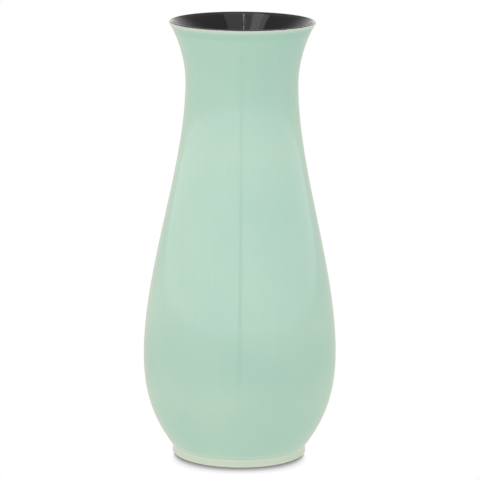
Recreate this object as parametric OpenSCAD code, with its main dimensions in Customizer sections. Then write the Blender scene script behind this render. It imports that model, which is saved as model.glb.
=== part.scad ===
// Porcelain vase: a pear-shaped body on a low foot ring, with a slim neck and a
// flared lip. It is glazed pale green outside and black inside, and its foot is
// left bare where it stands. Every piece is round about Z and the vase stands on z = 0.

/* [Foot] */
// Diameter of the glazed foot ring at its widest
foot_d = 92; // [84:1:100]
// Height of the foot ring, from the table to the groove under the body
foot_h = 5.5; // [4.8:0.2:9]
// How far the groove under the body is cut in from the foot's widest
groove_depth = 0.4; // [0.2:0.1:1.2]
// Width of the foot ring, from its outside to the hollow under the base
foot_w = 6; // [5:0.5:10]
// Radius of the foot's lower outer edge
foot_round = 1.6; // [1.2:0.1:2]
// Radius of the foot's lower inner edge
foot_inner_round = 1; // [0.4:0.1:1.2]

/* [Outline] */
// Height of the widest part of the body above the groove
belly_rise = 63.8; // [50:0.2:90]
// Outside diameter of the body at its widest
belly_d = 132.2; // [110:0.2:160]
// Height of the narrowest part of the neck above the widest part of the body
shoulder_rise = 188.4; // [150:0.2:240]
// Outside diameter of the neck at its narrowest
neck_d = 76.5; // [60:0.1:92]
// Height of the lip above the narrowest part of the neck
lip_rise = 41.9; // [30:0.1:55]
// Outside diameter of the lip
lip_d = 99.2; // [88:0.2:112]

/* [Curves] */
// Lean of the body outward from upright where it leaves the foot, in degrees
base_lean = 36.6; // [25:0.2:45]
// Lean of the neck outward from upright where it meets the lip, in degrees
lip_lean = 39; // [25:0.5:50]
// How far up the lower body the lean at the foot is carried
base_pull = 0.35; // [0.2:0.01:0.5]
// How upright the lower body stays under its widest part
belly_under_pull = 0.43; // [0.3:0.01:0.6]
// How upright the body stays over its widest part
belly_over_pull = 0.32; // [0.2:0.01:0.5]
// How upright the neck stays under its narrowest part
neck_under_pull = 0.31; // [0.2:0.01:0.5]
// How upright the neck stays over its narrowest part
neck_over_pull = 0.45; // [0.3:0.01:0.6]
// How far down the neck the lean at the lip is carried
lip_pull = 0.11; // [0.05:0.01:0.3]
// How far the wall's slope is carried on into the turn of the floor
heel_pull = 0.6; // [0.4:0.05:0.8]
// How far out the level middle of the floor reaches
floor_pull = 0.5; // [0.3:0.05:0.7]

/* [Walls] */
// Whole wall with its glaze at the foot groove
base_wall = 6; // [5:0.5:8]
// Whole wall with its glaze at the widest part of the body
belly_wall = 4.2; // [3.4:0.1:6]
// Whole wall with its glaze at the narrowest part of the neck
neck_wall = 3.4; // [2.8:0.1:5]
// Whole wall with its glaze at the lip, which is rounded over
lip_wall = 2.4; // [2:0.1:4]
// Thickness of the floor with its inside glaze, in the middle
floor_t = 6.5; // [5:0.5:10]
// Height above the groove at which the inside wall turns in to the floor
heel_rise = 14; // [10:0.5:22]

/* [Joint in the wall] */
// Height of the joint between the two thrown sections above the widest part
seam_rise = 45; // [20:1:100]
// Height of the lap, where the lower section's inner half stands inside the upper one
lap_h = 6; // [3:0.5:12]

/* [Glaze] */
// Thickness of the green glaze outside
outer_coat = 0.5; // [0.3:0.05:0.7]
// Thickness of the black glaze inside
inner_coat = 0.4; // [0.3:0.05:0.7]
// Thickness of the clear glaze under the base
base_coat = 0.4; // [0.3:0.05:0.7]
// Height of the bare strip of the foot under the green glaze
bare_h = 0.8; // [0.6:0.1:1]
// Height of the bare strip of the foot under the base glaze
bare_inner_h = 1.6; // [1.4:0.1:2.4]

/* [Hidden] */
// Straight steps along each stretch of the outline
base_steps = 6;
under_steps = 16;
over_steps = 12;
lap_steps = 2;
neck_steps = 26;
mouth_steps = 18;
lip_steps = 14;
edge_steps = 6;
floor_steps = 12;
// Flats round each turned piece
around_steps = 96;

belly_z = foot_h + belly_rise;
neck_z = belly_z + shoulder_rise;
top_z = neck_z + lip_rise;
seam_z = belly_z + seam_rise;
floor_z = foot_h + floor_t;

// Points and directions are [radius, height]
function unit(v) = v / norm(v);
function heading(lean) = [sin(lean), cos(lean)];
function polar(r, angle) = r * [cos(angle), sin(angle)];

// Outward travel up the wall has the wall on its left
function left_of(v) = unit([-v[1], v[0]]);

// Offset at a corner that keeps both of its sides equally thick
function mitre(n1, n2) = (n1 + n2) / (1 + n1 * n2);

// A cubic curve through c[0] and c[3] with c[1] and c[2] as its handles
function along(c, t) =
    pow(1 - t, 3) * c[0] + 3 * t * pow(1 - t, 2) * c[1]
    + 3 * t * t * (1 - t) * c[2] + pow(t, 3) * c[3];
function slope(c, t) =
    pow(1 - t, 2) * (c[1] - c[0]) + 2 * t * (1 - t) * (c[2] - c[1]) + t * t * (c[3] - c[2]);

// Place on a rising curve at which it reaches height z, by halving the stretch
function place(c, z, low = 0, high = 1, halvings = 30) =
    let (mid = (low + high) / 2)
    halvings == 0 ? mid
    : along(c, mid)[1] < z ? place(c, z, mid, high, halvings - 1)
    : place(c, z, low, mid, halvings - 1);

// Whole wall with both glazes at height z
function wall(z) = lookup(z, [
    [foot_h, base_wall],
    [belly_z, belly_wall],
    [neck_z, neck_wall],
    [top_z - lip_wall, lip_wall]
]);

// The three curves of the outline
groove = [foot_d / 2 - groove_depth, foot_h];
belly = [belly_d / 2, belly_z];
neck = [neck_d / 2, neck_z];
lip_centre = [(lip_d - lip_wall) / 2, top_z - lip_wall / 2];
lip_start = lip_centre + polar(lip_wall / 2, -lip_lean);

under_curve = [
    groove,
    groove + base_pull * belly_rise * heading(base_lean),
    belly - [0, belly_under_pull * belly_rise],
    belly
];
over_curve = [
    belly,
    belly + [0, belly_over_pull * shoulder_rise],
    neck - [0, neck_under_pull * shoulder_rise],
    neck
];
mouth_curve = [
    neck,
    neck + [0, neck_over_pull * lip_rise],
    lip_start - lip_pull * lip_rise * heading(lip_lean),
    lip_start
];

// A station is a point of the outside, the direction into the wall and the whole wall there
function station(c, t) = [along(c, t), left_of(slope(c, t)), wall(along(c, t)[1])];
function stations(c, t0, t1, steps) = [for (i = [1:steps]) station(c, t0 + (t1 - t0) * i / steps)];

heel_t = place(under_curve, foot_h + heel_rise);
seam_t = place(over_curve, seam_z);
lap_t = place(over_curve, seam_z + lap_h);

// Stretches of stations from the foot to the lip, each ending where the next begins
heel_run = stations(under_curve, 0, heel_t, base_steps);
under_run = stations(under_curve, heel_t, 1, under_steps);
over_run = stations(over_curve, 0, seam_t, over_steps);
lap_run = stations(over_curve, seam_t, lap_t, lap_steps);
neck_run = stations(over_curve, lap_t, 1, neck_steps);
mouth_run = stations(mouth_curve, 0, 1, mouth_steps);

heel = heel_run[base_steps - 1];
seam = over_run[over_steps - 1];
lap_top = lap_run[lap_steps - 1];

// Foot ring: rounded edge, then a side that leans in to the groove
foot_centre = [foot_d / 2 - outer_coat - foot_round, foot_round];
foot_side = [foot_d / 2, foot_round];
side_in = left_of(groove - foot_side);
bare_angle = -asin((foot_round - bare_h) / (foot_round + outer_coat));
function foot_station(angle) = [
    foot_centre + polar(foot_round + outer_coat, angle),
    -polar(1, angle)
];
foot_run = concat(
    [for (i = [0:edge_steps - 1]) foot_station(bare_angle * (1 - i / edge_steps))],
    [[foot_side, mitre([-1, 0], side_in)]],
    [[groove, mitre(side_in, left_of(heading(base_lean)))]]
);

// Faces of the layers at a list of stations
function glaze_face(run) = [for (s = run) s[0]];
function outer_face(run) = [for (s = run) s[0] + s[1] * outer_coat];
function middle(s) = s[0] + s[1] * (s[2] + outer_coat - inner_coat) / 2;
function inner_face(run) = [for (s = run) s[0] + s[1] * (s[2] - inner_coat)];
function hollow_face(run) = [for (s = run) s[0] + s[1] * s[2]];
function backward(list) = [for (i = [len(list) - 1:-1:0]) list[i]];

// Inside of the vase from the heel of the wall to the middle of the floor
heel_in = hollow_face([heel])[0];
heel_down = unit(-slope(under_curve, heel_t));
floor_curve = [
    heel_in,
    heel_in + heel_pull * heel_rise * heel_down,
    [floor_pull * heel_in[0], floor_z],
    [0, floor_z]
];
function floor_face(depth) = [
    for (i = [1:floor_steps])
        let (t = i / floor_steps, up = -left_of(slope(floor_curve, t)))
        along(floor_curve, t) - up * depth
];

// Rounded top of the lip, with the glaze changing from the outer to the inner thickness
function lip_face(coat0, coat1) = [
    for (i = [1:lip_steps - 1])
        let (share = i / lip_steps)
        lip_centre + polar(lip_wall / 2 - coat0 - (coat1 - coat0) * share, share * 180 - lip_lean)
];

// Height of the flat face between the foot ring and the body
bed_z = outer_face(foot_run)[len(foot_run) - 1][1];
foot_in = foot_d / 2 - foot_w;

module turned(outline) {
    rotate_extrude($fn = around_steps) polygon(outline);
}

module foot_ring() {
    color("oldlace") turned(concat(
        [for (i = [0:edge_steps - 1])
            foot_centre + polar(foot_round, -90 + (bare_angle + 90) * i / edge_steps)],
        outer_face(foot_run),
        [[foot_in, bed_z]],
        [for (i = [0:edge_steps])
            [foot_in + foot_inner_round, foot_inner_round]
            + polar(foot_inner_round, 180 + 90 * i / edge_steps)]
    ));
}

module lower_body() {
    color("seashell") turned(concat(
        [[0, bed_z]],
        [outer_face(foot_run)[len(foot_run) - 1]],
        outer_face(concat(heel_run, under_run, over_run)),
        [middle(seam), middle(lap_top)],
        backward(inner_face(concat([heel], under_run, over_run, lap_run))),
        floor_face(inner_coat)
    ));
}

module upper_body() {
    color("linen") turned(concat(
        [middle(seam)],
        outer_face(concat([seam], lap_run, neck_run, mouth_run)),
        lip_face(outer_coat, inner_coat),
        backward(inner_face(concat([lap_top], neck_run, mouth_run))),
        [middle(lap_top)]
    ));
}

module outer_glaze() {
    run = concat(foot_run, heel_run, under_run, over_run, lap_run, neck_run, mouth_run);
    color([0.70, 0.83, 0.76]) turned(concat(glaze_face(run), backward(outer_face(run))));
}

module lip_glaze() {
    lip = [mouth_run[mouth_steps - 1]];
    color([0.82, 0.87, 0.82]) turned(concat(
        glaze_face(lip),
        lip_face(0, 0),
        hollow_face(lip),
        inner_face(lip),
        backward(lip_face(outer_coat, inner_coat)),
        outer_face(lip)
    ));
}

module inner_glaze() {
    run = concat([heel], under_run, over_run, lap_run, neck_run, mouth_run);
    color([0.13, 0.13, 0.13]) turned(concat(
        backward(hollow_face(run)),
        floor_face(0),
        backward(floor_face(inner_coat)),
        inner_face(run)
    ));
}

module base_glaze() {
    color([0.85, 0.88, 0.84]) turned([
        [0, bed_z],
        [foot_in, bed_z],
        [foot_in, bare_inner_h],
        [foot_in - base_coat, bare_inner_h],
        [foot_in - base_coat, bed_z - base_coat],
        [0, bed_z - base_coat]
    ]);
}

foot_ring();
lower_body();
upper_body();
outer_glaze();
lip_glaze();
inner_glaze();
base_glaze();
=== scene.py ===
import math

import bpy
import numpy as np
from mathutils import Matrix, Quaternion, Vector


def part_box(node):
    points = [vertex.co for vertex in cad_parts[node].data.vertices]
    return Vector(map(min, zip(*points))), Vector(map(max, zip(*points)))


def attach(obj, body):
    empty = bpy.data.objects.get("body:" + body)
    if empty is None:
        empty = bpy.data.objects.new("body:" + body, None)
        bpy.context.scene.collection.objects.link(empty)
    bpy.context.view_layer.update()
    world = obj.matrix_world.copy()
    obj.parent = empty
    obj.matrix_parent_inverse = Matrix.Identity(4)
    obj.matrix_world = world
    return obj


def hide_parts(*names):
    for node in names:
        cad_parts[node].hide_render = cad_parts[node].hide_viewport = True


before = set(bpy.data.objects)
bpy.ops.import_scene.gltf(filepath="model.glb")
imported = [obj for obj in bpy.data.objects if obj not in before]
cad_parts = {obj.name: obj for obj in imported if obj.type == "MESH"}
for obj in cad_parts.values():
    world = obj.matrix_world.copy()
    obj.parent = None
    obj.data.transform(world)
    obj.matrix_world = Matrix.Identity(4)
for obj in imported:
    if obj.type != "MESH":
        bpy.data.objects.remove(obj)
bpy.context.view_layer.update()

# ---------------------------------------------------------------------------
# Green glaze outside. A celadon-type glaze, half a millimetre of coloured glass
# fused to white porcelain. The vase is dipped in it, and in the kiln it runs thin
# and pale over the lip and the foot, and gathers thick and green under the lip.
# Some of its paleness low on the body and at the foot is painted light from the
# floor, and its greener right side higher up is painted shade.

# Sizes are in millimetres, and MM turns them to the scene's metres.
MM = 0.001

coat_low, coat_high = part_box("outer_glaze")
lip_low, lip_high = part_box("lip_glaze")

HEIGHT = lip_high.z / MM
BELLY_R = (coat_high.x - coat_low.x) / 2 / MM
LIP_R = (lip_high.x - lip_low.x) / 2 / MM
FOOT_R = 46.0
FOOT_H = 5.5
FOOT_ROUND = 1.6
GROOVE_DEPTH = 0.4
GROOVE_FILLET = 1.1
BELLY_RISE = 63.8
LIP_RISE = 41.9
NECK_R = 38.25
LIP_WALL = 2.4
BASE_LEAN = math.radians(36.6)
LIP_LEAN = math.radians(39)
BASE_PULL, BELLY_UNDER_PULL = 0.35, 0.43
BELLY_OVER_PULL, NECK_UNDER_PULL = 0.32, 0.31
NECK_OVER_PULL, LIP_PULL = 0.45, 0.11
GREEN_COAT = 0.5
BARE_H = 0.8

BELLY_Z = FOOT_H + BELLY_RISE
NECK_Z = HEIGHT - LIP_RISE
SHOULDER_RISE = NECK_Z - BELLY_Z


def heading(lean):
    """Unit step [outward, up] that leans outward from upright by an angle."""
    return np.array([math.sin(lean), math.cos(lean)])


def polar(radius, angle):
    """Points at a radius and angles from the outward direction: [r cos a, r sin a]."""
    return radius * np.stack([np.cos(angle), np.sin(angle)], -1)


def cubic(handles, steps, low=0.0, high=1.0):
    """Points and unit slopes of a cubic through its first and last handle.

    Point: the handles weighted by (1-t)^3, 3t(1-t)^2, 3t^2(1-t), t^3.
    Slope: the handles' differences weighted by (1-t)^2, 2t(1-t), t^2.
    """
    p = np.asarray(handles, float)
    t = np.linspace(low, high, steps)[:, None]
    u = 1 - t
    points = u**3 * p[0] + 3 * t * u**2 * p[1] + 3 * t**2 * u * p[2] + t**3 * p[3]
    slopes = u**2 * (p[1] - p[0]) + 2 * t * u * (p[2] - p[1]) + t**2 * (p[3] - p[2])
    return points, slopes / np.linalg.norm(slopes, axis=1)[:, None]


def leftward(slopes):
    """Each slope turned a quarter left, which points into the wall on the way up."""
    return np.stack([-slopes[:, 1], slopes[:, 0]], -1)


groove = np.array([FOOT_R - GROOVE_DEPTH, FOOT_H])
belly = np.array([BELLY_R, BELLY_Z])
neck = np.array([NECK_R, NECK_Z])
lip_centre = np.array([LIP_R - LIP_WALL / 2, HEIGHT - LIP_WALL / 2])
lip_start = lip_centre + polar(LIP_WALL / 2, -LIP_LEAN)
UP = np.array([0.0, 1.0])

# Each curve's middle handles lie along its end slopes, at a pull times its rise.
under_curve = [
    groove,
    groove + BASE_PULL * BELLY_RISE * heading(BASE_LEAN),
    belly - BELLY_UNDER_PULL * BELLY_RISE * UP,
    belly,
]
over_curve = [
    belly,
    belly + BELLY_OVER_PULL * SHOULDER_RISE * UP,
    neck - NECK_UNDER_PULL * SHOULDER_RISE * UP,
    neck,
]
mouth_curve = [
    neck,
    neck + NECK_OVER_PULL * LIP_RISE * UP,
    lip_start - LIP_PULL * LIP_RISE * heading(LIP_LEAN),
    lip_start,
]

foot_centre = np.array([FOOT_R - GREEN_COAT - FOOT_ROUND, FOOT_ROUND])
foot_side = np.array([FOOT_R, FOOT_ROUND])
bare_angle = -math.asin((FOOT_ROUND - BARE_H) / (FOOT_ROUND + GREEN_COAT))


def joined(*runs):
    """One run of points and slopes from several; all but the first leave out their first point."""
    kept = [runs[0]] + [(points[1:], slopes[1:]) for points, slopes in runs[1:]]
    return tuple(np.concatenate(rows) for rows in zip(*kept))


def foot_run(steps=10, side_steps=8):
    """Rounded edge of the foot, its side, and a fillet of glaze in the groove.

    The edge is an arc, the side a straight line, and the fillet a cubic whose
    two middle handles both lie at the groove.
    """
    angles = np.linspace(bare_angle, 0, steps)
    edge = foot_centre + polar(FOOT_ROUND + GREEN_COAT, angles)
    edge_slopes = np.stack([-np.sin(angles), np.cos(angles)], -1)
    side_way = (groove - foot_side) / np.linalg.norm(groove - foot_side)
    fillet_low = groove - GROOVE_FILLET * side_way
    side = np.linspace(foot_side, fillet_low, side_steps)
    side_slopes = np.tile(side_way, (side_steps, 1))
    fillet = [fillet_low, groove, groove, groove + GROOVE_FILLET * heading(BASE_LEAN)]
    return joined((edge, edge_slopes), (side, side_slopes), cubic(fillet, steps))


def upper_run():
    """The wall from just over the groove to the lip, along the outline's three cubics.

    A cubic sets off at three times its first handle's length, so the first one
    starts at the fillet's length over that.
    """
    fillet_end = GROOVE_FILLET / (3 * BASE_PULL * BELLY_RISE)
    return joined(cubic(under_curve, 60, fillet_end), cubic(over_curve, 90), cubic(mouth_curve, 50))


# Where the glaze is made thicker or thinner than its usual coat, which makes its
# colour greener or paler: by how much, at what height, and how far up and down.
# The thinner bands at 48 mm and just over the groove are painted light: they make
# the lower body and the groove paler in place of light from the floor.
DEPTH_AND_LIGHT_BANDS = [
    (-0.27, HEIGHT - 1.6, 1.7),
    (0.02, HEIGHT - 20, 12),
    (-0.02, 214, 25),
    (-0.03, 106, 20),
    (0.035, BELLY_Z + 4, 18),
    (-0.04, 48, 13),
    (0.025, 18, 8),
    (-0.08, FOOT_H + 1.6, 1.8),
    (-0.07, FOOT_H - 0.7, 0.6),
]
LIP_ROLL, LIP_ROLL_Z, LIP_ROLL_FADE = 0.095, HEIGHT - 7.6, 0.5
# The thin glaze on the foot is partly painted light: its pale colour also stands in for light from the floor
# on the foot's side.
FOOT_THIN_AND_LIT, FOOT_THIN_AND_LIT_Z, FOOT_THIN_AND_LIT_FADE = 0.34, FOOT_H + 0.1, 0.15


def glaze_depth_and_light(points):
    """Thickness of the glaze in millimetres at points of the outside, with painted light in it.

    The usual coat, plus a bell curve of the height for each uneven place, plus
    a soft step up to the thick roll under the lip, less a soft step down to the
    thin glaze on the foot. The paler bands low on the body and over the groove, and
    part of the pale foot, are painted light from the floor. A bell is
    exp(-((z - at) / width)^2), and a step from 0 to 1 is 1 / (1 + exp(-(z - at) / fade)).
    """
    z = points[:, 1]
    more, at, width = np.array(DEPTH_AND_LIGHT_BANDS).T
    bells = np.exp(-(((z[:, None] - at) / width) ** 2)) @ more
    roll = LIP_ROLL / (1 + np.exp((LIP_ROLL_Z - z) / LIP_ROLL_FADE))
    foot_thin_and_lit = FOOT_THIN_AND_LIT / (1 + np.exp((z - FOOT_THIN_AND_LIT_Z) / FOOT_THIN_AND_LIT_FADE))
    return GREEN_COAT + bells + roll - foot_thin_and_lit


def turned(name, outline, noted=None, around=160, sharp=40):
    """Mesh of a closed outline [radius, height] turned about Z, in metres.

    Point (i, j) is (r_i cos a_j, r_i sin a_j, z_i), with a_j the j-th of equal
    steps round; points on the axis are one vertex. The outline runs with the
    solid on its left. noted is the name of an attribute and its number at each
    point of the outline. Edges sharper than an angle in degrees stay sharp.
    """
    outline = np.asarray(outline)
    n = len(outline)
    angles = np.arange(around) * 2 * math.pi / around
    on_axis = outline[:, 0] < 1e-6
    count = np.where(on_axis, 1, around)
    first = np.concatenate([[0], np.cumsum(count)[:-1]])
    ring = np.repeat(np.arange(n), count)
    step = np.arange(count.sum()) - first[ring]
    r, z = outline[ring].T * MM
    verts = np.stack([r * np.cos(angles[step]), r * np.sin(angles[step]), z], -1)
    j = np.arange(around)
    k = (j + 1) % around
    quads, tris = [], []
    for a, b in zip(range(n), np.roll(np.arange(n), -1)):
        if on_axis[a] and on_axis[b]:
            continue
        if on_axis[a]:
            tris.append(np.stack([first[a] + 0 * j, first[b] + k, first[b] + j], -1))
        elif on_axis[b]:
            tris.append(np.stack([first[a] + j, first[a] + k, first[b] + 0 * j], -1))
        else:
            quads.append(np.stack([first[a] + j, first[a] + k, first[b] + k, first[b] + j], -1))
    faces = [f.tolist() for f in quads + tris]
    mesh = bpy.data.meshes.new(name)
    mesh.from_pydata(verts, [], [f for group in faces for f in group])
    if noted is not None:
        layer = mesh.attributes.new(noted[0], "FLOAT", "POINT")
        layer.data.foreach_set("value", np.asarray(noted[1])[ring].astype(np.float32))
    mesh.shade_smooth()
    mesh.set_sharp_from_angle(angle=math.radians(sharp))
    mesh.update()
    piece = bpy.data.objects.new(name, mesh)
    bpy.context.scene.collection.objects.link(piece)
    return piece


def srgb(text):
    """Linear colour of an sRGB hex value: c/12.92 up to 0.04045, else ((c+0.055)/1.055)^2.4."""
    c = np.array([int(text[i : i + 2], 16) for i in (1, 3, 5)]) / 255
    lin = np.where(c <= 0.04045, c / 12.92, ((c + 0.055) / 1.055) ** 2.4)
    return (*lin.tolist(), 1.0)


def add_node(tree, kind, settings=None, inputs=None):
    """Adds a node and sets its properties and inputs; an input given a socket is linked to it."""
    node = tree.nodes.new(kind)
    for setting, value in (settings or {}).items():
        setattr(node, setting, value)
    for name, value in (inputs or {}).items():
        socket = node.inputs[name]
        if isinstance(value, bpy.types.NodeSocket):
            tree.links.new(value, socket)
        else:
            socket.default_value = value
    return node


def ramp_stops(node, stops):
    """Puts (position, colour) stops on a colour ramp."""
    elements = node.color_ramp.elements
    while len(elements) < len(stops):
        elements.new(0.5)
    for element, (at, colour) in zip(elements, stops):
        element.position = at
        element.color = colour


def new_material(name):
    """An empty node material with its output; returns (material, tree, output)."""
    material = bpy.data.materials.new(name)
    material.use_nodes = True
    tree = material.node_tree
    tree.nodes.clear()
    return material, tree, add_node(tree, "ShaderNodeOutputMaterial")


CLOUD_DEPTH, CLOUD_SIZE = 0.19, 52
RUN_DEPTH, RUN_WIDTH, RUN_LENGTH = 0.05, 3, 70
SIDE_SHADE_DEPTH = 0.08
PEEL_DEPTH, PEEL_SIZE = 0.0015, 1.4
WAVE_DEPTH, WAVE_SIZE = 0.12, 32


def celadon_glaze():
    """Celadon glaze, dipped and fired: glassy, and coloured by how thick it lies on white porcelain, with
    painted light and shade in that colour.

    Broad clouds and narrow upright runs vary its thickness a little. It is also
    made greener and darker to the right the higher it is, a painted shade for
    light that falls more from the left. An orange-peel skin and a slow wave of the
    thrown wall soften its reflections.
    """
    material, tree, out = new_material("celadon_glaze")
    place = add_node(tree, "ShaderNodeTexCoord").outputs["Object"]
    depth = add_node(tree, "ShaderNodeAttribute", {"attribute_name": "glaze_mm_and_light"}).outputs["Fac"]
    clouds = add_node(
        tree,
        "ShaderNodeTexNoise",
        None,
        {"Vector": place, "Scale": 1 / (CLOUD_SIZE * MM), "Detail": 3.0, "Roughness": 0.4},
    ).outputs["Fac"]
    across, along = 1 / (RUN_WIDTH * MM), 1 / (RUN_LENGTH * MM)
    run_place = add_node(
        tree, "ShaderNodeMapping", None, {"Vector": place, "Scale": (across, across, along)}
    ).outputs["Vector"]
    runs = add_node(
        tree, "ShaderNodeTexNoise", None, {"Vector": run_place, "Scale": 1.0, "Detail": 2.0}
    ).outputs["Fac"]
    cloudy = add_node(
        tree, "ShaderNodeMath", {"operation": "MULTIPLY_ADD"}, {0: clouds, 1: CLOUD_DEPTH, 2: depth}
    ).outputs[0]
    uneven = add_node(
        tree, "ShaderNodeMath", {"operation": "MULTIPLY_ADD"}, {0: runs, 1: RUN_DEPTH, 2: cloudy}
    ).outputs[0]
    apart = add_node(tree, "ShaderNodeSeparateXYZ", None, {0: place}).outputs
    # Painted shade: the colour is pushed greener and darker to the right the higher it is, as if lit more
    # from the left.
    sideways = add_node(
        tree, "ShaderNodeMath", {"operation": "MULTIPLY"}, {0: apart["X"], 1: apart["Z"]}
    ).outputs[0]
    per_area = SIDE_SHADE_DEPTH / (BELLY_R * MM * HEIGHT * MM)
    depth_with_side_shade = add_node(
        tree, "ShaderNodeMath", {"operation": "MULTIPLY_ADD"}, {0: sideways, 1: per_area, 2: uneven}
    ).outputs[0]
    colour = add_node(tree, "ShaderNodeValToRGB", None, {"Fac": depth_with_side_shade})
    level = (CLOUD_DEPTH + RUN_DEPTH) / 2
    ramp_stops(
        colour,
        [
            (level + 0.07, srgb("#dbdfd0")),
            (level + 0.16, srgb("#d0ddc9")),
            (level + 0.24, srgb("#c8dbc6")),
            (level + 0.34, srgb("#c5dbc9")),
            (level + 0.42, srgb("#bad6c5")),
            (level + 0.50, srgb("#b1d1c1")),
            (level + 0.62, srgb("#a7ccbe")),
            (level + 0.75, srgb("#9dc6b9")),
        ],
    )
    peel = add_node(
        tree, "ShaderNodeTexNoise", None, {"Vector": place, "Scale": 1 / (PEEL_SIZE * MM), "Detail": 1.0}
    ).outputs["Fac"]
    wave = add_node(
        tree, "ShaderNodeTexNoise", None, {"Vector": place, "Scale": 1 / (WAVE_SIZE * MM), "Detail": 1.0}
    ).outputs["Fac"]
    waved = add_node(
        tree, "ShaderNodeBump", None, {"Height": wave, "Distance": WAVE_DEPTH * MM, "Strength": 1.0}
    ).outputs["Normal"]
    skin = add_node(
        tree,
        "ShaderNodeBump",
        None,
        {"Height": peel, "Distance": PEEL_DEPTH * MM, "Strength": 1.0, "Normal": waved},
    ).outputs["Normal"]
    polish = add_node(
        tree,
        "ShaderNodeMapRange",
        None,
        {"Value": runs, "From Min": 0.3, "From Max": 0.7, "To Min": 0.07, "To Max": 0.11},
    ).outputs["Result"]
    shader = add_node(
        tree,
        "ShaderNodeBsdfPrincipled",
        None,
        {"Base Color": colour.outputs["Color"], "Roughness": polish, "IOR": 1.5, "Normal": skin},
    )
    tree.links.new(shader.outputs[0], out.inputs["Surface"])
    return material


coat_points, coat_slopes = joined(foot_run(), upper_run())
# The side against the porcelain is hidden, so every fourth point is enough.
coat_back = (coat_points + leftward(coat_slopes) * GREEN_COAT)[::-4]
green_outline = np.concatenate([coat_points, coat_back])
green_depths_and_light = np.concatenate([glaze_depth_and_light(coat_points), np.full(len(coat_back), GREEN_COAT)])
green_coat = turned("green_glaze_coat", green_outline, ("glaze_mm_and_light", green_depths_and_light))
green_coat.data.materials.append(celadon_glaze())
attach(green_coat, "root")
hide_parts("outer_glaze")

# ---------------------------------------------------------------------------
# Pale lip. The green and black glazes meet on the rounded lip. Green glaze runs off
# its outside until the white porcelain shows through a skin of almost clear glass,
# and the black begins short of its crest.

LIP_PATCH_SIZE, LIP_PATCH_SHARE = 5, 0.08


def lip_face(depth, steps=28):
    """Half-turn round the lip's centre, at its radius less depth, from the outside to the inside."""
    angles = np.linspace(-LIP_LEAN, math.pi - LIP_LEAN, steps)
    return lip_centre + polar(LIP_WALL / 2 - depth, angles)


def thin_lip_glaze():
    """Thinned glaze, run off white porcelain in the kiln: glassy and pale, then grey-brown, then black.

    Its colour follows the share of the way round, from 0 outside to 1 inside,
    and small patches make the edge of the black uneven.
    """
    material, tree, out = new_material("thin_lip_glaze")
    place = add_node(tree, "ShaderNodeTexCoord").outputs["Object"]
    share = add_node(tree, "ShaderNodeAttribute", {"attribute_name": "lip_share"}).outputs["Fac"]
    patches = add_node(
        tree,
        "ShaderNodeTexNoise",
        None,
        {"Vector": place, "Scale": 1 / (LIP_PATCH_SIZE * MM), "Detail": 3.0},
    ).outputs["Fac"]
    uneven = add_node(
        tree, "ShaderNodeMath", {"operation": "MULTIPLY_ADD"}, {0: patches, 1: LIP_PATCH_SHARE, 2: share}
    ).outputs[0]
    colour = add_node(tree, "ShaderNodeValToRGB", None, {"Fac": uneven})
    ramp_stops(
        colour,
        [
            (0.06, srgb("#c5d0c6")),
            (0.32, srgb("#ced6cf")),
            (0.40, srgb("#b6b6b0")),
            (0.47, srgb("#524b45")),
            (0.54, srgb("#201e1c")),
        ],
    )
    shader = add_node(
        tree,
        "ShaderNodeBsdfPrincipled",
        None,
        {"Base Color": colour.outputs["Color"], "Roughness": 0.12, "IOR": 1.5},
    )
    tree.links.new(shader.outputs[0], out.inputs["Surface"])
    return material


lip_front = lip_face(0.0)
lip_back = lip_face(GREEN_COAT)[::-2]
lip_share = np.concatenate([np.linspace(0, 1, len(lip_front)), np.linspace(1, 0, len(lip_back))])
pale_lip = turned("pale_lip", np.concatenate([lip_front, lip_back]), ("lip_share", lip_share))
pale_lip.data.materials.append(thin_lip_glaze())
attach(pale_lip, "root")
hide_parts("lip_glaze")

# ---------------------------------------------------------------------------
# Black glaze inside. A dark iron glaze, poured in and out again before firing, so
# it lies in faint upright runs and goes slightly brown where it thins at the lip.

FLOOR_OVER_FOOT = 6.5
FLOOR_Z = FOOT_H + FLOOR_OVER_FOOT
HEEL_RISE = 14.0
HEEL_PULL, FLOOR_PULL = 0.6, 0.5
BASE_WALL, BELLY_WALL, NECK_WALL = 6.0, 4.2, 3.4
BLACK_COAT = 0.4
FLUTE_WIDTH, FLUTE_LENGTH, FLUTE_DEPTH = 2, 60, 0.03
BROWN_FROM, BROWN_TO, BROWN_RAGGED = HEIGHT - 1.7, HEIGHT - 0.3, 1.6


def whole_wall(z):
    """Thickness of the wall with both glazes, in straight lines between four heights."""
    heights = [FOOT_H, BELLY_Z, NECK_Z, HEIGHT - LIP_WALL]
    return np.interp(z, heights, [BASE_WALL, BELLY_WALL, NECK_WALL, LIP_WALL])


def inside_run():
    """The inside from the lip down to the middle of the floor.

    The inside is the outside moved in by the whole wall, down to the heel. The
    floor is a cubic that leaves the heel along its slope and ends level on the axis.
    """
    points, slopes = upper_run()
    inner = points + leftward(slopes) * whole_wall(points[:, 1])[:, None]
    up_wall = points[:, 1] >= FOOT_H + HEEL_RISE
    inner, slopes = inner[up_wall], slopes[up_wall]
    heel = inner[0]
    down_wall = heel - HEEL_PULL * HEEL_RISE * slopes[0]
    floor_run = cubic([heel, down_wall, (FLOOR_PULL * heel[0], FLOOR_Z), (0, FLOOR_Z)], 40)
    return joined((inner[::-1], -slopes[::-1]), floor_run)


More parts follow.
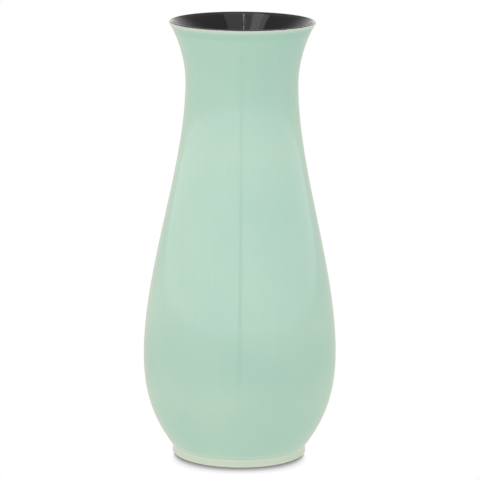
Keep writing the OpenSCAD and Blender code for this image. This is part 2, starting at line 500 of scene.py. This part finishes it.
def mirror_black_glaze():
    """Iron-black glaze, poured and fired: glassy, nearly black, a little brown where it thins.

    Narrow runs go down the wall. They make the thin edge ragged and press faint
    flutes into the surface, which streak its reflections.
    """
    material, tree, out = new_material("mirror_black_glaze")
    place = add_node(tree, "ShaderNodeTexCoord").outputs["Object"]
    height = add_node(tree, "ShaderNodeSeparateXYZ", None, {0: place}).outputs["Z"]
    across, along = 1 / (FLUTE_WIDTH * MM), 1 / (FLUTE_LENGTH * MM)
    run_place = add_node(
        tree, "ShaderNodeMapping", None, {"Vector": place, "Scale": (across, across, along)}
    ).outputs["Vector"]
    runs = add_node(
        tree,
        "ShaderNodeTexNoise",
        None,
        {"Vector": run_place, "Scale": 1.0, "Detail": 3.0, "Roughness": 0.6},
    ).outputs["Fac"]
    edge_z = add_node(
        tree, "ShaderNodeMath", {"operation": "MULTIPLY_ADD"}, {0: runs, 1: BROWN_RAGGED * MM, 2: height}
    ).outputs[0]
    thinness = add_node(
        tree,
        "ShaderNodeMapRange",
        None,
        {"Value": edge_z, "From Min": BROWN_FROM * MM, "From Max": BROWN_TO * MM},
    ).outputs["Result"]
    colour = add_node(tree, "ShaderNodeValToRGB", None, {"Fac": thinness})
    ramp_stops(colour, [(0.0, srgb("#131313")), (0.6, srgb("#1b1a19")), (1.0, srgb("#2e2925"))])
    flutes = add_node(
        tree, "ShaderNodeBump", None, {"Height": runs, "Distance": FLUTE_DEPTH * MM, "Strength": 1.0}
    ).outputs["Normal"]
    shader = add_node(
        tree,
        "ShaderNodeBsdfPrincipled",
        None,
        {"Base Color": colour.outputs["Color"], "Roughness": 0.04, "IOR": 1.55, "Normal": flutes},
    )
    tree.links.new(shader.outputs[0], out.inputs["Surface"])
    return material


black_points, black_slopes = inside_run()
# The side against the porcelain is hidden, and its lowest point is put exactly on the axis.
black_back = (black_points + leftward(black_slopes) * BLACK_COAT)[::-3]
black_back[0, 0] = 0.0
black_coat = turned("black_glaze_coat", np.concatenate([black_points, black_back]))
black_coat.data.materials.append(mirror_black_glaze())
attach(black_coat, "root")
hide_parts("inner_glaze")

# ---------------------------------------------------------------------------
# Foot ring. Turned from the same porcelain as the body. It stands on bare clay:
# glaze would weld it to the kiln shelf, so it is wiped off there before firing,
# and the edge is ground smooth afterwards.

FOOT_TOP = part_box("foot_ring")[1].z / MM
FOOT_WIDTH = 6.0
FOOT_IN_R = FOOT_R - FOOT_WIDTH
FOOT_INNER_ROUND = 1.0

# Real grit is under a tenth of a millimetre, and is drawn coarser so that it shows.
GRIT_SIZE, GRIT_DEPTH = 0.5, 0.03
SCUFF_SIZE = 7


def foot_outline(steps=12):
    """Section of the ring: rounded outer edge, side under the glaze, flat top, rounded inner edge.

    Both edges are quarter arcs or less, and the side is the glaze's run moved
    in by the glaze's thickness, as far as the ring's top.
    """
    edge = foot_centre + polar(FOOT_ROUND, np.linspace(-math.pi / 2, bare_angle, steps))
    points, slopes = foot_run()
    side = points + leftward(slopes) * GREEN_COAT
    side = side[side[:, 1] <= FOOT_TOP]
    inner_centre = np.array([FOOT_IN_R + FOOT_INNER_ROUND, FOOT_INNER_ROUND])
    inner_edge = inner_centre + polar(FOOT_INNER_ROUND, np.linspace(math.pi, 1.5 * math.pi, steps))
    return np.concatenate([edge, side[1:], [[FOOT_IN_R, FOOT_TOP]], inner_edge])


def bare_porcelain():
    """Bare porcelain, fired and ground: matt and warm white, with fine grit and greyer scuffed patches."""
    material, tree, out = new_material("bare_porcelain")
    place = add_node(tree, "ShaderNodeTexCoord").outputs["Object"]
    grit = add_node(
        tree, "ShaderNodeTexNoise", None, {"Vector": place, "Scale": 1 / (GRIT_SIZE * MM), "Detail": 2.0}
    ).outputs["Fac"]
    scuffs = add_node(
        tree,
        "ShaderNodeTexNoise",
        None,
        {"Vector": place, "Scale": 1 / (SCUFF_SIZE * MM), "Detail": 5.0, "Roughness": 0.7},
    ).outputs["Fac"]
    colour = add_node(tree, "ShaderNodeValToRGB", None, {"Fac": scuffs})
    ramp_stops(colour, [(0.3, srgb("#a79f92")), (0.45, srgb("#d3cab9")), (0.65, srgb("#ddd5c6"))])
    skin = add_node(
        tree, "ShaderNodeBump", None, {"Height": grit, "Distance": GRIT_DEPTH * MM, "Strength": 1.0}
    ).outputs["Normal"]
    shader = add_node(
        tree,
        "ShaderNodeBsdfPrincipled",
        None,
        {"Base Color": colour.outputs["Color"], "Roughness": 0.75, "IOR": 1.5, "Normal": skin},
    )
    tree.links.new(shader.outputs[0], out.inputs["Surface"])
    return material


bare_foot = turned("bare_foot_ring", foot_outline(), sharp=50)
biscuit = bare_porcelain()
bare_foot.data.materials.append(biscuit)
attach(bare_foot, "root")
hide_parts("foot_ring")

# ---------------------------------------------------------------------------
# Base glaze. The hollow inside the foot ring has a clear glaze over the white
# porcelain, poured in, fused on in the kiln and wiped back from the standing edge.

BASE_COAT = 0.4
BASE_FILLET = 1.2
BARE_INNER_H = 1.6
BASE_EDGE_RISE = 0.2
MILKY_SIZE = 18
PINHOLE_APART, PINHOLE_DEPTH = 6, 0.05
PINHOLE_CORE, PINHOLE_EDGE = 0.03, 0.06


def base_outline(ceiling_steps=24, corner_steps=10):
    """Section of the coat: the hollow's ceiling, a rounded corner, and the ring's inner side.

    The corner is a quarter arc, and the coat's lower edge rises a little towards
    its skin.
    """
    skin = np.array([FOOT_IN_R - BASE_COAT, FOOT_TOP - BASE_COAT])
    centre = skin - BASE_FILLET
    ceiling = np.linspace((0.0, skin[1]), (centre[0], skin[1]), ceiling_steps)
    corner = centre + polar(BASE_FILLET, np.linspace(math.pi / 2, 0, corner_steps))
    edge = [[skin[0], BARE_INNER_H + BASE_EDGE_RISE], [FOOT_IN_R, BARE_INNER_H]]
    against_clay = [[FOOT_IN_R, FOOT_TOP], [0.0, FOOT_TOP]]
    return np.concatenate([ceiling, corner[1:], edge, against_clay])[::-1]


def clear_base_glaze():
    """Clear glaze, poured and fired: glassy, cool white, faintly milky, with small grey pinholes.

    A pinhole lies round each of many scattered points. It is full at its core and
    gone at its edge, which are shares of the points' spacing.
    """
    material, tree, out = new_material("clear_base_glaze")
    place = add_node(tree, "ShaderNodeTexCoord").outputs["Object"]
    clouds = add_node(
        tree, "ShaderNodeTexNoise", None, {"Vector": place, "Scale": 1 / (MILKY_SIZE * MM), "Detail": 3.0}
    ).outputs["Fac"]
    colour = add_node(tree, "ShaderNodeValToRGB", None, {"Fac": clouds})
    ramp_stops(colour, [(0.3, srgb("#d5ddd4")), (0.7, srgb("#e0e4dc"))])
    spots = add_node(
        tree, "ShaderNodeTexVoronoi", {"feature": "F1"}, {"Vector": place, "Scale": 1 / (PINHOLE_APART * MM)}
    ).outputs["Distance"]
    pinhole = add_node(
        tree,
        "ShaderNodeMapRange",
        None,
        {"Value": spots, "From Min": PINHOLE_CORE, "From Max": PINHOLE_EDGE},
    ).outputs["Result"]
    shade = add_node(
        tree,
        "ShaderNodeMix",
        {"data_type": "RGBA"},
        {"Factor": pinhole, "A": srgb("#9a948a"), "B": colour.outputs["Color"]},
    ).outputs["Result"]
    dent = add_node(
        tree, "ShaderNodeBump", None, {"Height": pinhole, "Distance": PINHOLE_DEPTH * MM, "Strength": 1.0}
    ).outputs["Normal"]
    shader = add_node(
        tree,
        "ShaderNodeBsdfPrincipled",
        None,
        {"Base Color": shade, "Roughness": 0.1, "IOR": 1.5, "Normal": dent},
    )
    tree.links.new(shader.outputs[0], out.inputs["Surface"])
    return material


base_coat = turned("base_glaze_coat", base_outline(), sharp=50)
base_coat.data.materials.append(clear_base_glaze())
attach(base_coat, "root")
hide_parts("base_glaze")

# ---------------------------------------------------------------------------
# Porcelain body. Two thrown sections, lapped and luted together with slip; both
# lie wholly under the glazes, so they keep their plain solids and the biscuit.

for section in ("lower_body", "upper_body"):
    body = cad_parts[section]
    body.data.materials.clear()
    body.data.materials.append(biscuit)

# ---------------------------------------------------------------------------
# Studio. A white board in a white tent, lit from overhead and from high in front.
# The black glaze mirrors the three front lights. A black card in front of the vase
# stands for a narrow gap in the tent.

FLOOR_R = 6.0
FLOOR_GAP = 0.05 * MM
# Painted contact shadow on the board: its inner radius, its width at the sides and in front, and where it
# turns from one to the other.
SHADOW_R = 45 * MM
SHADOW_SIDE = 0.5 * MM
SHADOW_FRONT = 17 * MM
FACING_FRONT, FACING_SIDE = -1.0, -0.05
BOUNCE = (0.94, 0.945, 0.90, 1.0)
IN_GLAZE = (0.76, 0.73, 0.65, 1.0)


def white_floor():
    """White board that glows as a lit one would: white to the eye, warmer in bounce and in the glaze.

    The eye also sees a contact shadow round the foot, drawn into the board's
    colour: a painted shadow, fixed to the board and cast by no light. Its shade goes
    up a ramp by (distance from the axis - shadow's inner radius) / width, where the
    width goes by smoothstep from wide in front to narrow at the sides and back. From
    below the board is clear, so that the foot and the base can be looked at.
    """
    material, tree, out = new_material("lit_white_board")
    place = add_node(tree, "ShaderNodeTexCoord").outputs["Object"]
    reach = add_node(tree, "ShaderNodeVectorMath", {"operation": "LENGTH"}, {0: place}).outputs["Value"]
    forward = add_node(tree, "ShaderNodeSeparateXYZ", None, {0: place}).outputs["Y"]
    facing = add_node(tree, "ShaderNodeMath", {"operation": "DIVIDE"}, {0: forward, 1: reach}).outputs[0]
    width = add_node(
        tree,
        "ShaderNodeMapRange",
        {"interpolation_type": "SMOOTHSTEP"},
        {
            "Value": facing,
            "From Min": FACING_FRONT,
            "From Max": FACING_SIDE,
            "To Min": SHADOW_FRONT,
            "To Max": SHADOW_SIDE,
        },
    ).outputs["Result"]
    beyond = add_node(tree, "ShaderNodeMath", {"operation": "SUBTRACT"}, {0: reach, 1: SHADOW_R}).outputs[0]
    way = add_node(tree, "ShaderNodeMath", {"operation": "DIVIDE"}, {0: beyond, 1: width}).outputs[0]
    shade = add_node(tree, "ShaderNodeValToRGB", None, {"Fac": way})
    ramp_stops(
        shade,
        [
            (0.03, srgb("#868686")),
            (0.28, srgb("#bababa")),
            (0.6, srgb("#ececec")),
            (1.0, srgb("#ffffff")),
        ],
    )
    rays = add_node(tree, "ShaderNodeLightPath").outputs
    in_light = add_node(
        tree,
        "ShaderNodeMix",
        {"data_type": "RGBA"},
        {"Factor": rays["Is Glossy Ray"], "A": BOUNCE, "B": IN_GLAZE},
    ).outputs["Result"]
    glow = add_node(
        tree,
        "ShaderNodeMix",
        {"data_type": "RGBA"},
        {"Factor": rays["Is Camera Ray"], "A": in_light, "B": shade.outputs["Color"]},
    ).outputs["Result"]
    board = add_node(tree, "ShaderNodeEmission", None, {"Color": glow}).outputs[0]
    clear = add_node(tree, "ShaderNodeBsdfTransparent").outputs[0]
    below = add_node(tree, "ShaderNodeNewGeometry").outputs["Backfacing"]
    one_sided = add_node(tree, "ShaderNodeMixShader", None, {0: below, 1: board, 2: clear})
    tree.links.new(one_sided.outputs[0], out.inputs["Surface"])
    return material


floor_ring = polar(FLOOR_R, np.linspace(0, 2 * math.pi, 96, endpoint=False))
floor_verts = np.pad(floor_ring, ((0, 0), (0, 1)), constant_values=-FLOOR_GAP)
floor_mesh = bpy.data.meshes.new("floor")
floor_mesh.from_pydata(floor_verts, [], [list(range(len(floor_verts)))])
floor = bpy.data.objects.new("floor", floor_mesh)
bpy.context.scene.collection.objects.link(floor)
floor.data.materials.append(white_floor())

TENT_RIGHT, TENT_LEFT, TENT_BACK, TENT_FRONT = 1.25, 1.24, 1.32, 1.23
TENT_TOP, TOP_FROM, TOP_TO = 0.42, math.radians(18), math.radians(34)


def surround():
    """White tent: bright walls, and a dimmer top that comes in by smoothstep between two angles up.

    A wall's light is right x^2 where x is above 0 and left x^2 where it is below,
    plus back and front y^2 in the same way. Looked at, the tent is plain white.
    """
    world = bpy.data.worlds.new("surround")
    bpy.context.scene.world = world
    world.use_nodes = True
    tree = world.node_tree
    tree.nodes.clear()
    way = add_node(tree, "ShaderNodeTexCoord").outputs["Generated"]
    rise = add_node(tree, "ShaderNodeSeparateXYZ", None, {0: way}).outputs["Z"]
    sides = []
    for flip, levels in ((1, (TENT_RIGHT, TENT_BACK, 0)), (-1, (TENT_LEFT, TENT_FRONT, 0))):
        faced = add_node(
            tree, "ShaderNodeVectorMath", {"operation": "SCALE"}, {0: way, "Scale": flip}
        ).outputs[0]
        half = add_node(
            tree, "ShaderNodeVectorMath", {"operation": "MAXIMUM"}, {0: faced, 1: (0, 0, 0)}
        ).outputs[0]
        square = add_node(
            tree, "ShaderNodeVectorMath", {"operation": "MULTIPLY"}, {0: half, 1: half}
        ).outputs[0]
        side = add_node(
            tree, "ShaderNodeVectorMath", {"operation": "DOT_PRODUCT"}, {0: square, 1: levels}
        ).outputs["Value"]
        sides.append(side)
    walls = add_node(tree, "ShaderNodeMath", {"operation": "ADD"}, {0: sides[0], 1: sides[1]}).outputs[0]
    topward = add_node(
        tree,
        "ShaderNodeMapRange",
        {"interpolation_type": "SMOOTHSTEP"},
        {"Value": rise, "From Min": math.sin(TOP_FROM), "From Max": math.sin(TOP_TO)},
    ).outputs["Result"]
    level = add_node(
        tree, "ShaderNodeMix", {"data_type": "FLOAT"}, {"Factor": topward, "A": walls, "B": TENT_TOP}
    ).outputs["Result"]
    looked_at = add_node(tree, "ShaderNodeLightPath").outputs["Is Camera Ray"]
    seen = add_node(
        tree, "ShaderNodeMix", {"data_type": "FLOAT"}, {"Factor": looked_at, "A": level, "B": 1.0}
    ).outputs["Result"]
    back = add_node(tree, "ShaderNodeBackground", None, {"Color": srgb("#ffffff"), "Strength": seen})
    out = add_node(tree, "ShaderNodeOutputWorld")
    tree.links.new(back.outputs[0], out.inputs["Surface"])


surround()


def soft_light(name, at, aim, width, depth, radiance, turn=0.0):
    """Rectangular soft light, turned about its own aim, of power radiance times pi times its area.

    It isn't seen when looked at, only in its light and in reflections.
    """
    data = bpy.data.lights.new(name, "AREA")
    data.shape = "RECTANGLE"
    data.size, data.size_y = width, depth
    data.energy = radiance * math.pi * width * depth
    lamp = bpy.data.objects.new(name, data)
    lamp.location = at
    lamp.rotation_mode = "QUATERNION"
    aimed = (Vector(aim) - Vector(at)).to_track_quat("-Z", "Y")
    lamp.rotation_quaternion = aimed @ Quaternion((0, 0, 1), turn)
    lamp.visible_camera = False
    bpy.context.scene.collection.objects.link(lamp)
    return lamp


# The overhead light stays out of the glaze's reflections, where it would line the far rim.
overhead = soft_light("overhead_light", (0, 0, 2.0), (0, 0, 0), 1.4, 1.4, 2.8)
overhead.visible_glossy = False
soft_light("front_light", (-0.05, -0.92, 1.36), (-0.05, 0, 0.28), 1.36, 1.1, 0.5)
soft_light("leaning_light", (-0.61, -0.88, 1.32), (-0.1, 0, 0.28), 0.56, 1.1, 0.95, math.radians(24))
soft_light("strip_light", (-0.045, -0.86, 1.29), (0, 0, 0.28), 0.022, 0.7, 4.0)

CARD_AT, CARD_WIDTH, CARD_HEIGHT = -0.26, 0.016, 0.34


def black_card():
    """Dull black card: it reflects almost nothing, so it shows in the glaze as a narrow dark gap."""
    material, tree, out = new_material("black_card")
    shader = add_node(tree, "ShaderNodeBsdfDiffuse", None, {"Color": srgb("#0a0a0a")})
    tree.links.new(shader.outputs[0], out.inputs["Surface"])
    return material


left, right = -CARD_WIDTH / 2, CARD_WIDTH / 2
card_corners = [
    (left, CARD_AT, 0),
    (right, CARD_AT, 0),
    (right, CARD_AT, CARD_HEIGHT),
    (left, CARD_AT, CARD_HEIGHT),
]
card_mesh = bpy.data.meshes.new("dark_gap")
card_mesh.from_pydata(card_corners, [], [(0, 1, 2, 3)])
card = bpy.data.objects.new("dark_gap", card_mesh)
bpy.context.scene.collection.objects.link(card)
card_mesh.materials.append(black_card())
# The card is seen in reflections only: it casts no shadow and dims no bounced light.
card.visible_camera = False
card.visible_shadow = False
card.visible_diffuse = False

# ---------------------------------------------------------------------------
# Camera. A long lens 2.1 m from the vase, looking down a little from 27 cm over
# the lip, with half a degree of roll.

VIEW_AT = Vector((0.0, -2.073, 0.569))
VIEW_AIM = Vector((-0.00045, 0.0, 0.14878))
ROLL = math.radians(0.475)

view_data = bpy.data.cameras.new("view")
view_data.sensor_width = 36.0
view_data.lens = 232.1
view_data.clip_end = 50.0
view = bpy.data.objects.new("view", view_data)
bpy.context.scene.collection.objects.link(view)
view.rotation_mode = "QUATERNION"
view.location = VIEW_AT
aimed = (VIEW_AIM - VIEW_AT).to_track_quat("-Z", "Y")
view.rotation_quaternion = aimed @ Quaternion((0, 0, 1), ROLL)
bpy.context.scene.camera = view
bpy.context.scene.view_settings.view_transform = "Standard"
